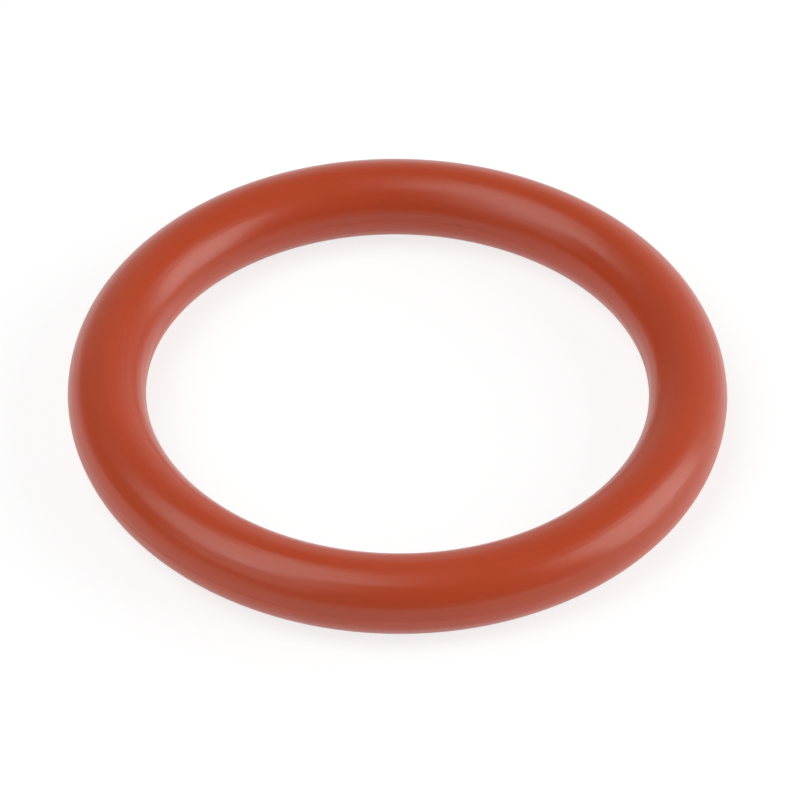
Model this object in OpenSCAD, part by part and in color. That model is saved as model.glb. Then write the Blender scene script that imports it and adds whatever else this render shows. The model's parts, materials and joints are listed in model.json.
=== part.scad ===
// A moulded silicone O-ring, in millimetres: one endless ring of round section, lying flat.
// The origin is the centre of the ring, on its axis and on the plane where the mould parts, with +Z along the axis.
// The ring is pressed between two mould halves. They meet on the section's equator, so a fine line of trimmed
// flash runs right round the ring twice, once on the inside diameter and once on the outside.

/* [Ring] */
// Inside diameter of the round section, the first of the two sizes that the ring is ordered by
inside_d = 34.29; // [8:0.01:120]
// Diameter of the round section, the second of the two sizes
section_d = 5.33; // [1.5:0.01:8]

/* [Mould line] */
// How far the trimmed flash stands out from the round section
flash_h = 0.05; // [0.02:0.01:0.15]
// Height of the flash along the axis, the gap that the closed mould leaves
flash_w = 0.12; // [0.04:0.01:0.2]

/* [Hidden] */

// Radius of the circle that the middle of the section runs along
ring_r = (inside_d + section_d) / 2;
// Colour of silicone that is coloured with red iron oxide
silicone = [0.72, 0.27, 0.16];

// Steps round the section and round the ring, where the curves are shown as flat faces
section_steps = 40;
ring_steps = 160;

// The cut face of the ring, with the middle of the section at the origin and the ring's axis to its left.
module section() {
    circle(d = section_d, $fn = section_steps);
    // one film through the section leaves both lines of flash, inside and outside
    square([section_d + 2 * flash_h, flash_w], center = true);
}

module o_ring() {
    color(silicone)
        rotate_extrude($fn = ring_steps)
            translate([ring_r, 0])
                section();
}

o_ring();
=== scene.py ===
# %% [markdown]
# # A moulded silicone o-ring
#
# This lesson dresses one small rubber part: a sealing ring of red silicone, 45 mm across. It is a
# single piece with no joints, so all of its character is in its surface: a round section with no flats,
# the line where the two halves of the mould met, and the soft sheen of silicone between matt and
# glossy.
#
# The packed CAD model is loaded first, as a frame that is never changed. What is built here goes into
# the same space, in metres, with the ring's centre at the origin and the ring's axis along Z.

# %% Load the frame
import json
import math

import bmesh
import bpy
from mathutils import Matrix, Vector, noise


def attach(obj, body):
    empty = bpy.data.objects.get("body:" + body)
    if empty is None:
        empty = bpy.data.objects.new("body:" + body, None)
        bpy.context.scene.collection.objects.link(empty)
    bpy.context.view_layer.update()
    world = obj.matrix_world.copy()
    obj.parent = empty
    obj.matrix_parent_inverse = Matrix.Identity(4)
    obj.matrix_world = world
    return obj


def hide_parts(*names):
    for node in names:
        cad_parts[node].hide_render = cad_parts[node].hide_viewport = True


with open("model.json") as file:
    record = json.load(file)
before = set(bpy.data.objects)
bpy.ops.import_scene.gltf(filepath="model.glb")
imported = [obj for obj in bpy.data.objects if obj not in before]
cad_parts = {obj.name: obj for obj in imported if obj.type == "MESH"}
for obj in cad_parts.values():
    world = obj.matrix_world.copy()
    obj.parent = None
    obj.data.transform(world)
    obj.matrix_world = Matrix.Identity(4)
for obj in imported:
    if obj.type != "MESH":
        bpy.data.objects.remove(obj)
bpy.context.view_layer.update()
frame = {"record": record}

# %% [markdown]
# ## The sizes of the ring
#
# An o-ring is ordered by two sizes, its inside diameter and the diameter of its section. The packed
# record states both through its mounts: a bore on the crest of the inner flash, a pin on the crest of
# the outer flash, and the two seats above and below. Reading them there is better than typing them
# again, because a change of the CAD model then carries through to the looks.

# %% Read the sizes from the record
MM = 0.001
mounts = {mount["name"]: mount for mount in frame["record"]["mounts"]}
bore_r = mounts["inside_diameter"]["dims"]["r_mm"] * MM
rim_r = mounts["outside_diameter"]["dims"]["r_mm"] * MM
flash_width = mounts["inside_diameter"]["dims"]["length_mm"] * MM
section_r = mounts["upper_seat"]["pos_m"][2]
table_z = mounts["lower_seat"]["pos_m"][2]
ring_r = (bore_r + rim_r) / 2
flash_height = rim_r - ring_r - section_r
print(f"middle circle {2 * ring_r / MM:.2f} mm, section {2 * section_r / MM:.2f} mm across, "
      f"flash {flash_height / MM:.3f} mm high")

# %% [markdown]
# ## The section, with its flash
#
# The ring is pressed between two mould halves that meet on its widest and its narrowest circle. A film
# of rubber creeps into the gap there. It is trimmed off, or torn off cold in a tumbler, and what stays
# is a ridge of a few hundredths of a millimetre at the most, which is seen as a fine line.
#
# The section could be a plain circle with the line painted on. A true ridge is better, because it
# catches the light from any side. The points are spread evenly round the circle, but lie close together
# near the two ridges, which are about as wide as two hairs.

# %% Points round the section
SECTION_STEPS = 84
RIDGE_ANGLES = (0.0, 0.45, 0.9, 1.35, 1.8, 2.4, 3.2)  # degrees from a mould line to its close points
CLEAR_ANGLE = 3.6  # the evenly spread points stay farther than this from a mould line, in degrees


def section_angles():
    """Angles round the section in degrees: 0 is the outer rim, 90 the top and 180 the inner rim."""
    even = [360 * step / SECTION_STEPS for step in range(SECTION_STEPS)]
    clear = [angle for angle in even if min(angle % 180, 180 - angle % 180) > CLEAR_ANGLE]
    near = {line + sign * angle for line in (0, 180) for sign in (-1, 1) for angle in RIDGE_ANGLES}
    return sorted(clear + [angle % 360 for angle in near])


angles = section_angles()
print("points round the section:", len(angles))

# %% [markdown]
# ## The ring is spun
#
# The mould for an o-ring is turned on a lathe, so the ring is made here in the same way: the section is
# drawn once and spun about the axis. A torus primitive would also give a ring, but its points could not
# be packed together at the ridges. A Screw modifier with no rise does the spinning and merges the last
# copy of the section with the first. It is then applied, because the next steps move single points.

# %% Spin the section into a ring
RING_STEPS = 720
SAME_PLACE = 1e-7  # a distance in metres that counts as none


def spun_ring(name):
    """A closed ring of round section, with its points close together near the two mould lines."""
    section = bmesh.new()
    corners = []
    for angle in angles:
        turn = math.radians(angle)
        corner = (ring_r + section_r * math.cos(turn), 0, section_r * math.sin(turn))
        corners.append(section.verts.new(corner))
    for before, after in zip(corners[-1:] + corners, corners):
        section.edges.new((before, after))
    drawn = bpy.data.meshes.new(name + "_section")
    section.to_mesh(drawn)
    section.free()
    ring = bpy.data.objects.new(name, drawn)
    bpy.context.collection.objects.link(ring)
    spin = ring.modifiers.new("spin", "SCREW")
    spin.axis = "Z"
    spin.steps = RING_STEPS
    spin.render_steps = RING_STEPS
    spin.use_merge_vertices = True
    spin.merge_threshold = SAME_PLACE
    spin.use_smooth_shade = True
    ready = ring.evaluated_get(bpy.context.evaluated_depsgraph_get())
    ring.data = bpy.data.meshes.new_from_object(ready)
    ring.data.name = name
    ring.modifiers.clear()
    bpy.data.meshes.remove(drawn)
    return ring


moulded_ring = spun_ring("moulded_ring")
print("ring:", len(moulded_ring.data.vertices), "points,", len(moulded_ring.data.polygons), "faces")

# %% [markdown]
# ## Trimming the flash
#
# The CAD model has the flash at its full height, and on a trimmed ring most of that is gone. Trimming
# never leaves the same height all the way round, so the share that stays has a slow and a quick
# unevenness. A random share for each point would make a saw's edge. A noise that is read on a circle
# changes smoothly, joins up where the ring closes, and is the same on each run. The inner and the outer
# line read two circles that lie far apart, and so they differ.

# %% What trimming left
SLOW_WAVES = 5.0
QUICK_WAVES = 34.0
SLOW_PART = 0.65
SIDES_APART = 3.7
# Shares of the full height of the flash
USUAL_SHARE = 0.15
LEAST_SHARE = 0.03
UNEVEN_SHARE = 0.5


def trimmed(turn, side):
    """The share of the flash left at this angle, where side is 1 on the rim and -1 on the bore."""
    spot = Vector((math.cos(turn), math.sin(turn), SIDES_APART * side))
    slow = noise.noise(spot * SLOW_WAVES)
    quick = noise.noise(spot * QUICK_WAVES)
    uneven = SLOW_PART * slow + (1 - SLOW_PART) * quick
    return min(1.0, max(LEAST_SHARE, USUAL_SHARE + UNEVEN_SHARE * uneven))


print(f"flash left on the +X side: {trimmed(0, 1):.0%} on the rim, {trimmed(0, -1):.0%} on the bore")

# %% [markdown]
# ## The ridges are raised
#
# On a mould line itself a point moves by the whole height of the trimmed flash, and beside the line by
# less, with a rounded foot and crest. The points move straight out or in, and not along the surface's
# normal, because the film lay flat in the gap. Moving points of the ring is simpler than joining a
# second, thin ring to it, and it leaves one closed skin.

# %% Raise the trimmed flash
RIDGE_FOOT = 0.85 * flash_width


def raise_flash(ring):
    """Lifts the points near the two mould lines and gives the least and greatest height in metres."""
    heights = []
    for point in ring.data.vertices:
        off_line = abs(point.co.z)
        if off_line > flash_width:
            continue
        out = math.hypot(point.co.x, point.co.y)
        side = 1 if out > ring_r else -1
        slope = max(0.0, 1 - off_line / RIDGE_FOOT)
        rounded = slope * slope * (3 - 2 * slope)
        lift = flash_height * trimmed(math.atan2(point.co.y, point.co.x), side) * rounded
        reach = (out + side * lift) / out
        point.co.x *= reach
        point.co.y *= reach
        if off_line < SAME_PLACE:
            heights.append(lift)
    return min(heights), max(heights)


lowest, highest = raise_flash(moulded_ring)
print(f"flash from {lowest / MM:.3f} to {highest / MM:.3f} mm high")

# %% [markdown]
# ## Shader maths as expressions
#
# A material is easier to read as sums than as a net of small nodes. The class below wraps one socket,
# and its operators add the Math nodes that work the sum out. The reflected forms make 1 - mask work as
# well as mask - 1.

# %% Sums on sockets
class Level:
    """A socket that carries one number over a surface, with arithmetic that builds Math nodes."""

    def __init__(self, shader, socket):
        self.shader = shader
        self.socket = socket

    def result(self, operation, first, second):
        """Adds one Math node and gives its result as a level."""
        made = self.shader.node("ShaderNodeMath", {"operation": operation}, {0: first, 1: second})
        return Level(self.shader, made.outputs[0])

    def __add__(self, other):
        return self.result("ADD", self, other)

    def __radd__(self, other):
        return self.result("ADD", other, self)

    def __sub__(self, other):
        return self.result("SUBTRACT", self, other)

    def __rsub__(self, other):
        return self.result("SUBTRACT", other, self)

    def __mul__(self, other):
        return self.result("MULTIPLY", self, other)

    def __rmul__(self, other):
        return self.result("MULTIPLY", other, self)

    def __truediv__(self, other):
        return self.result("DIVIDE", self, other)

    def __rtruediv__(self, other):
        return self.result("DIVIDE", other, self)

    def __pow__(self, other):
        return self.result("POWER", self, other)

    def __rpow__(self, other):
        return self.result("POWER", other, self)


print("reflected forms:", [name for name in vars(Level) if name.startswith("__r")])

# %% [markdown]
# ## One way to add a node
#
# Every other kind of node comes from one method. It sets the node's own settings first and its sockets
# after, because some settings decide which sockets a node has. Three short forms stand on it: a node
# whose output goes into a sum, a smooth rise between two values, and a cloud of noise of a given size.

# %% Nodes for a material or the world
class Shader:
    """The node tree of one material or of the world."""

    def __init__(self, owner):
        owner.use_nodes = True
        self.tree = owner.node_tree
        self.tree.nodes.clear()

    def node(self, kind, settings=None, sockets=None):
        """Adds one node. Its settings are set first, and then its sockets."""
        made = self.tree.nodes.new(kind)
        for name, value in (settings or {}).items():
            setattr(made, name, value)
        for name, value in (sockets or {}).items():
            self.put(made.inputs[name], value)
        return made

    def put(self, socket, value):
        """Links an output to a socket, or sets the socket's own value."""
        if isinstance(value, Level):
            self.tree.links.new(value.socket, socket)
        elif isinstance(value, bpy.types.NodeSocket):
            self.tree.links.new(value, socket)
        else:
            socket.default_value = value

    def level(self, kind, settings=None, sockets=None, output=0):
        """Adds one node and gives one of its outputs as a level."""
        return Level(self, self.node(kind, settings, sockets).outputs[output])

    def between(self, value, low, high):
        """0 below low, 1 above high, with a smooth rise."""
        return self.level("ShaderNodeMapRange", {"interpolation_type": "SMOOTHSTEP"},
                          {"Value": value, "From Min": low, "From Max": high})

    def cloud(self, vector, size, detail=2.0):
        """Noise from about -0.5 to 0.5 whose blots are about this size, in the units of the vector."""
        blots = self.level("ShaderNodeTexNoise", None,
                           {"Vector": vector, "Scale": 1 / size, "Detail": detail, "Roughness": 0.5})
        return blots - 0.5


print("methods:", [name for name in vars(Shader) if not name.startswith("__")])

# %% [markdown]
# ## Where a point lies on the ring
#
# The finish follows the ring and not the room, so it needs to know how high a point lies above the
# parting plane and how far it is from the axis. Both are worked out from the piece's own coordinates.
#
# Marks that run round the ring, such as those that a turned mould leaves, need a pattern that is
# stretched along the ring and closes on itself. The direction from the axis, a point on a circle of
# radius 1, gives the first two coordinates of the pattern, and the angle round the section gives the
# third. Each is scaled, which sets how often the marks change along the ring and how fine they are
# across it.

# %% Coordinates of the ring
silicone = bpy.data.materials.new("silicone_red_oxide")
finish = Shader(silicone)
place = finish.node("ShaderNodeTexCoord").outputs["Object"]
parts = finish.node("ShaderNodeSeparateXYZ", None, {0: place})
east = Level(finish, parts.outputs[0])
north = Level(finish, parts.outputs[1])
height = Level(finish, parts.outputs[2])
out = (east * east + north * north) ** 0.5
away = out - ring_r
section_angle = finish.level("ShaderNodeMath", {"operation": "ARCTAN2"}, {0: height, 1: away})
facing_east = east / out
facing_north = north / out


def along_ring(turns, lines):
    """Coordinates for a pattern of long marks: few changes round the ring, many round its section."""
    return finish.node("ShaderNodeCombineXYZ", None, {
        0: facing_east * turns,
        1: facing_north * turns,
        2: section_angle * lines,
    }).outputs[0]


print("nodes for the coordinates:", len(finish.tree.nodes))

# %% [markdown]
# ## The parting of the mould
#
# Below the parting plane the ring is made a little paler and duller, with a clear step at the ridge.
# The torn rubber where the flash was trimmed is a little paler and duller too. Both are masks on the
# height above the parting plane, because such a mask stays in place on the ring from every side.

# %% Masks for the mould halves and the flash
STEP_REACH = 0.03 * MM
TORN_CORE = 0.4 * flash_width
TORN_EDGE = 0.8 * flash_width

lower_half = 1 - finish.between(height, -STEP_REACH, STEP_REACH)
off_plane = finish.level("ShaderNodeMath", {"operation": "ABSOLUTE"}, {0: height})
torn_flash = 1 - finish.between(off_plane, TORN_CORE, TORN_EDGE)
print("nodes with the masks:", len(finish.tree.nodes))

# %% [markdown]
# ## Colour
#
# Silicone gum is clear and colourless. Iron oxide makes it brick red, and it is milled in on rolls, so
# the tone drifts by a few hundredths over the ring, in soft clouds that follow no edge. A single flat
# colour would look like paint. The clouds and masks work on the brightness alone, and the hue stays
# that of the pigment.

# %% Colour of the silicone
OXIDE_RED = (0.55, 0.069, 0.021)
WIDE_CLOUDS = 9 * MM
WIDE_DRIFT = 0.10
SMALL_CLOUDS = 1.2 * MM
SMALL_DRIFT = 0.05
HALF_PALER = 0.07
TORN_PALER = 0.04

tone = (1.0
        + WIDE_DRIFT * finish.cloud(place, WIDE_CLOUDS)
        + SMALL_DRIFT * finish.cloud(place, SMALL_CLOUDS)
        + HALF_PALER * lower_half
        + TORN_PALER * torn_flash)
pigment = finish.node("ShaderNodeVectorMath", {"operation": "SCALE"},
                      {0: OXIDE_RED, "Scale": tone}).outputs[0]
print("pigment, in linear light:", OXIDE_RED)

# %% [markdown]
# ## Gloss
#
# A moulded silicone ring has a satin skin, neither wet nor chalky. It sweats a trace of oil that lies
# unevenly, so the roughness drifts in patches, where a single value would look like hard plastic. The
# duller lower half and the torn flash use the same masks as the colour, so both change at the same
# places.

# %% Roughness of the skin
SATIN = 0.31
OIL_PATCHES = 5 * MM
OIL_DRIFT = 0.10
HALF_DULLER = 0.05
TORN_DULLER = 0.15

roughness = (SATIN
             + OIL_DRIFT * finish.cloud(place, OIL_PATCHES)
             + HALF_DULLER * lower_half
             + TORN_DULLER * torn_flash)
print("nodes with the roughness:", len(finish.tree.nodes))

# %% [markdown]
# ## Relief
#
# The skin copies its mould: fine lines from the turning tool, a faint grain, and long low waves where
# the groove was polished by hand. A mesh fine enough to carry them would need about a million points.
# Even the waves, the highest of them, rise and fall by only about a hundredth of a millimetre, so a
# Bump node does it all, with its heights in metres. The waves make the edges of the highlights wander a
# little, and the rest only softens them.

# %% Relief of the skin
GRAIN_SIZE = 0.16 * MM
GRAIN_HEIGHT = 0.004 * MM
TOOL_TO_GRAIN = 0.6
WAVES_TO_GRAIN = 8.0

turning_lines = finish.cloud(along_ring(turns=1.6, lines=20.0), size=1.0, detail=3.0)
polishing_waves = finish.cloud(along_ring(turns=2.2, lines=4.5), size=1.0, detail=1.0)
grain = finish.cloud(place, GRAIN_SIZE, detail=3.0)
relief = TOOL_TO_GRAIN * turning_lines + grain + WAVES_TO_GRAIN * polishing_waves
skin = finish.node("ShaderNodeBump", None,
                   {"Strength": 1.0, "Distance": GRAIN_HEIGHT, "Height": relief})
print("nodes with the relief:", len(finish.tree.nodes))

# %% [markdown]
# ## The silicone itself
#
# Clear silicone bends light a little less than glass does, with an index of about 1.41. The silica and
# the iron oxide that are milled into it raise that, and 1.5 gives highlights as strong as the
# photograph's. Some light enters the rubber and comes out nearby, redder, which softens the shading
# across the section. A weak sheen pales the glancing edges, as the fine powder on a rubber skin does.
# These values are the same all over, so they are set on the shader's own sockets.

# %% Put the shader together
body = finish.node("ShaderNodeBsdfPrincipled", None, {
    "Base Color": pigment,
    "Roughness": roughness,
    "IOR": 1.5,
    "Subsurface Weight": 0.12,
    "Subsurface Radius": (1.0, 0.25, 0.12),
    "Subsurface Scale": 0.8 * MM,
    "Sheen Weight": 0.12,
    "Sheen Roughness": 0.35,
    "Normal": skin.outputs[0],
})
finish.node("ShaderNodeOutputMaterial", None, {"Surface": body.outputs[0]})
moulded_ring.data.materials.append(silicone)
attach(moulded_ring, "root")
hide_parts("o_ring")
print("nodes in the silicone:", len(finish.tree.nodes))

# %% [markdown]
# ## The table
#
# The ring lies on a white table, which touches it at the lower seat. A studio often has a board that
# curves up behind the thing it carries. The camera looks down on this ring, so a flat square fills the
# picture, and it looks the same from every side. It is so large that its edges stay out of the picture.

# %% Lay the table
TABLE_SIZE = 3.0


def table_top(name):
    """A square board under the ring."""
    half = TABLE_SIZE / 2
    corners = [(-half, -half, table_z), (half, -half, table_z),
               (half, half, table_z), (-half, half, table_z)]
    data = bpy.data.meshes.new(name)
    data.from_pydata(corners, [], [(0, 1, 2, 3)])
    board = bpy.data.objects.new(name, data)
    bpy.context.collection.objects.link(board)
    return board


table = table_top("table")
print("table at", round(table_z / MM, 3), "mm")

# %% [markdown]
# ## The white of the table
#
# Seen by the camera, in reflections and through clear things, the table adds light of its own, so that
# it reaches white while the soft shadow of the ring stays. That light rises with the distance from the
# ring, where the lamps grow weak. Other light rays see only a plain pale surface, so the ring is lit no
# more than it would be on a real white table. Stronger lamps would whiten the table too, but they would
# bleach the ring.

# %% Make the table white
LIT_WHITE = (0.9, 0.9, 0.9, 1)
SEEN_GREY = (0.28, 0.28, 0.28, 1)
GLOW_NEAR = 0.79
GLOW_FAR = 1.0
GLOW_RISES_FROM = 0.1
GLOW_RISES_TO = 0.6

white_board = bpy.data.materials.new("white_board")
board_shader = Shader(white_board)
rays = board_shader.node("ShaderNodeLightPath")
looked_at = board_shader.level("ShaderNodeMath", {"operation": "MAXIMUM"},
                               {0: rays.outputs["Is Camera Ray"], 1: rays.outputs["Is Glossy Ray"]})
looked_at = board_shader.level("ShaderNodeMath", {"operation": "MAXIMUM"},
                               {0: looked_at, 1: rays.outputs["Is Transmission Ray"]})
spot_on_board = board_shader.node("ShaderNodeTexCoord").outputs["Object"]
distance = board_shader.level("ShaderNodeVectorMath", {"operation": "LENGTH"},
                              {0: spot_on_board}, "Value")
rise_of_glow = board_shader.between(distance, GLOW_RISES_FROM, GLOW_RISES_TO)
glow = GLOW_NEAR + (GLOW_FAR - GLOW_NEAR) * rise_of_glow
lit_board = board_shader.node("ShaderNodeBsdfDiffuse", None, {"Color": LIT_WHITE})
seen_board = board_shader.node("ShaderNodeBsdfDiffuse", None, {"Color": SEEN_GREY})
own_light = board_shader.node("ShaderNodeEmission", None, {"Color": glow, "Strength": 1.0})
bright_board = board_shader.node("ShaderNodeAddShader", None,
                                 {0: seen_board.outputs[0], 1: own_light.outputs[0]})
board_mix = board_shader.node("ShaderNodeMixShader", None,
                              {0: looked_at, 1: lit_board.outputs[0], 2: bright_board.outputs[0]})
board_shader.node("ShaderNodeOutputMaterial", None, {"Surface": board_mix.outputs[0]})
table.data.materials.append(white_board)
print("nodes in the table:", len(board_shader.tree.nodes))

# %% [markdown]
# ## The room
#
# The room is dim, and one pale backdrop rises behind the ring, a little to the right. An even grey room
# would be simpler, but a satin surface mirrors all of it at a glancing angle, and its left side would
# look dusty. The world is a shader on directions: it fades with height, and away from the middle of the
# backdrop.

# %% Light from all around
ROOM = 0.07
BACKDROP = 0.93
BACKDROP_AZIMUTH = math.radians(80)
BACKDROP_EDGE = 0.45  # the cosine of the angle from the middle of the backdrop to its edge

room = bpy.data.worlds.new("studio_room")
bpy.context.scene.world = room
sky = Shader(room)
way = sky.node("ShaderNodeTexCoord").outputs["Generated"]
way_parts = sky.node("ShaderNodeSeparateXYZ", None, {0: way})
east_way = Level(sky, way_parts.outputs[0])
north_way = Level(sky, way_parts.outputs[1])
up = Level(sky, way_parts.outputs[2])
facing_it = east_way * math.cos(BACKDROP_AZIMUTH) + north_way * math.sin(BACKDROP_AZIMUTH)
brightness = ROOM + (BACKDROP - ROOM) * (1 - up) * sky.between(facing_it, BACKDROP_EDGE, 1.0)
sky_light = sky.node("ShaderNodeBackground", None, {"Color": (1, 1, 1, 1), "Strength": brightness})
sky.node("ShaderNodeOutputWorld", None, {"Surface": sky_light.outputs[0]})
print("room", ROOM, "backdrop", BACKDROP)

# %% [markdown]
# ## Two softboxes and a reflector
#
# Soft lamps make the long pale streaks that run along a round section. One softbox hangs high on the
# left and a little in front, the other stands low on the right. A reflector at the front left gives a
# weak glow between them, which keeps the near side of the ring from going flat. Each is a panel that
# faces the ring. A point lamp would make small hard spots instead, and a larger panel gives a broader,
# softer streak. The powers are set so that a plain colour renders about as it is written.

# %% Place the lamps
LAMP_DISTANCE = 1.2


def soft_panel(name, azimuth, elevation, width, height, power):
    """A lamp that faces the ring from this direction, in degrees from +X and above the table."""
    light = bpy.data.lights.new(name, "AREA")
    light.shape = "RECTANGLE"
    light.size = width
    light.size_y = height
    light.energy = power
    lamp = bpy.data.objects.new(name, light)
    bpy.context.collection.objects.link(lamp)
    turn = math.radians(azimuth)
    rise = math.radians(elevation)
    spot = Vector((math.cos(turn) * math.cos(rise), math.sin(turn) * math.cos(rise), math.sin(rise)))
    lamp.location = spot * LAMP_DISTANCE
    lamp.rotation_euler = spot.to_track_quat("Z", "Y").to_euler()
    print(name, "at", [round(value, 3) for value in lamp.location])


soft_panel("softbox_left", azimuth=192, elevation=64, width=0.93, height=0.98, power=7.0)
soft_panel("softbox_right", azimuth=359.5, elevation=25.6, width=0.93, height=1.02, power=9.85)
soft_panel("reflector", azimuth=219, elevation=36, width=0.96, height=0.88, power=2.5)

# %% [markdown]
# ## The camera
#
# The photograph was taken with a long lens from 43 degrees above the table. Its perspective is weak,
# but not nil: the near side of the ring is drawn a little larger than the far side, which puts the
# camera about 23 ring radii away. It is rolled by half a degree, and a small shift sets the ring where
# it lies in the picture. The places are given in ring radii and pixels, and the ring's own radius turns
# them into metres.

# %% Set up the camera
PICTURE = 800
CAMERA_ELEVATION = 43.06  # degrees, as the roll
CAMERA_ROLL = 0.563
PIXELS_PER_RADIUS = 290.42
RADII_AWAY = 22.656
RING_AT = (397.5, 388.7)  # the ring's centre, in pixels from the picture's top left corner
SENSOR_WIDTH = 36.0  # millimetres, as the focal length
NEAREST_SEEN = 0.01

lens_data = bpy.data.cameras.new("camera")
camera = bpy.data.objects.new("camera", lens_data)
bpy.context.collection.objects.link(camera)
rise = math.radians(CAMERA_ELEVATION)
sight = Vector((0, -math.cos(rise), math.sin(rise)))
camera.location = sight * ring_r * RADII_AWAY
level_view = sight.to_track_quat("Z", "Y").to_matrix().to_4x4()
camera.matrix_world = (Matrix.Translation(camera.location) @ level_view
                       @ Matrix.Rotation(math.radians(CAMERA_ROLL), 4, "Z"))
lens_data.sensor_width = SENSOR_WIDTH
lens_data.lens = SENSOR_WIDTH * PIXELS_PER_RADIUS * RADII_AWAY / PICTURE
lens_data.shift_x = (PICTURE / 2 - RING_AT[0]) / PICTURE
lens_data.shift_y = (RING_AT[1] - PICTURE / 2) / PICTURE
lens_data.clip_start = NEAREST_SEEN
bpy.context.scene.camera = camera
bpy.context.scene.view_settings.view_transform = "Standard"
print(f"lens {lens_data.lens:.0f} mm, {camera.location.length:.3f} m away")

# %% [markdown]
